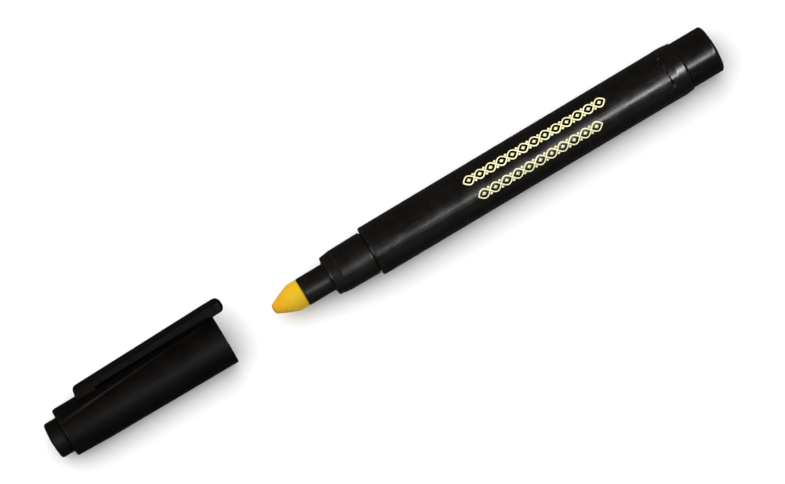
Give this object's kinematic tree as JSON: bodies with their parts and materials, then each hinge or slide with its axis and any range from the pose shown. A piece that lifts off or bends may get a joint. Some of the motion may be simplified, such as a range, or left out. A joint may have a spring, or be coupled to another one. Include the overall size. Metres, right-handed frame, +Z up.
{
  "type": "counterfeit detector pen",
  "caption": "Slim black fibre-tip marker with an amber bullet nib, a plugged tail and a pull-off cap with a pocket clip, lying open with the cap in line ahead of the nib.",
  "frame": {"origin": "bottom centre of the whole object's box, on the surface that the open pen lies on", "axes": "+X along the pen's axis from the nib towards the tail, +Y to the side that the clip is on, +Z up"},
  "size_m": [0.174, 0.0154, 0.0124],
  "materials": {
    "barrel_plastic": "black moulded polypropylene, satin gloss, faint lengthwise draw lines",
    "section_plastic": "black moulded polypropylene, satin, rubbed where the cap slides",
    "nib_fibre": "bonded polyester fibre soaked with amber fluid, darker towards the tip",
    "reservoir_fibre": "bonded polyester fibre soaked with amber fluid, which weighs about as much as solid plastic",
    "wrap_film": "thin clear-white film sleeve",
    "plug_plastic": "black moulded polypropylene, satin gloss",
    "cap_plastic": "black moulded polypropylene, satin, with fine handling scratches",
    "end_plug_plastic": "black moulded polypropylene, satin gloss",
    "seal_plastic": "natural polyethylene, slightly waxy",
    "clip_plastic": "black moulded polypropylene, satin, edges slightly polished"
  },
  "bodies": {
    "pen": {"barrel": "barrel_plastic", "front_section": "section_plastic", "nib": "nib_fibre", "ink_reservoir": "reservoir_fibre", "reservoir_wrap": "wrap_film", "tail_plug": "plug_plastic"},
    "cap": {"cap_shell": "cap_plastic", "cap_end_plug": "end_plug_plastic", "cap_seal_cup": "seal_plastic"},
    "clip": {"pocket_clip": "clip_plastic"}
  },
  "joints": [
    {"name": "cap_pull", "type": "slide", "parent": "pen", "child": "cap", "axis": [1, 0, 0], "range_m": [-0.03, 0.038]},
    {"name": "clip_flex", "type": "hinge", "parent": "cap", "child": "clip", "pos_m": [-0.07495, 0.00401, 0.00843], "axis": [0, -0.3746, 0.9272], "range_deg": [0, 4], "stiffness_Nm_per_rad": 3}
  ]
}
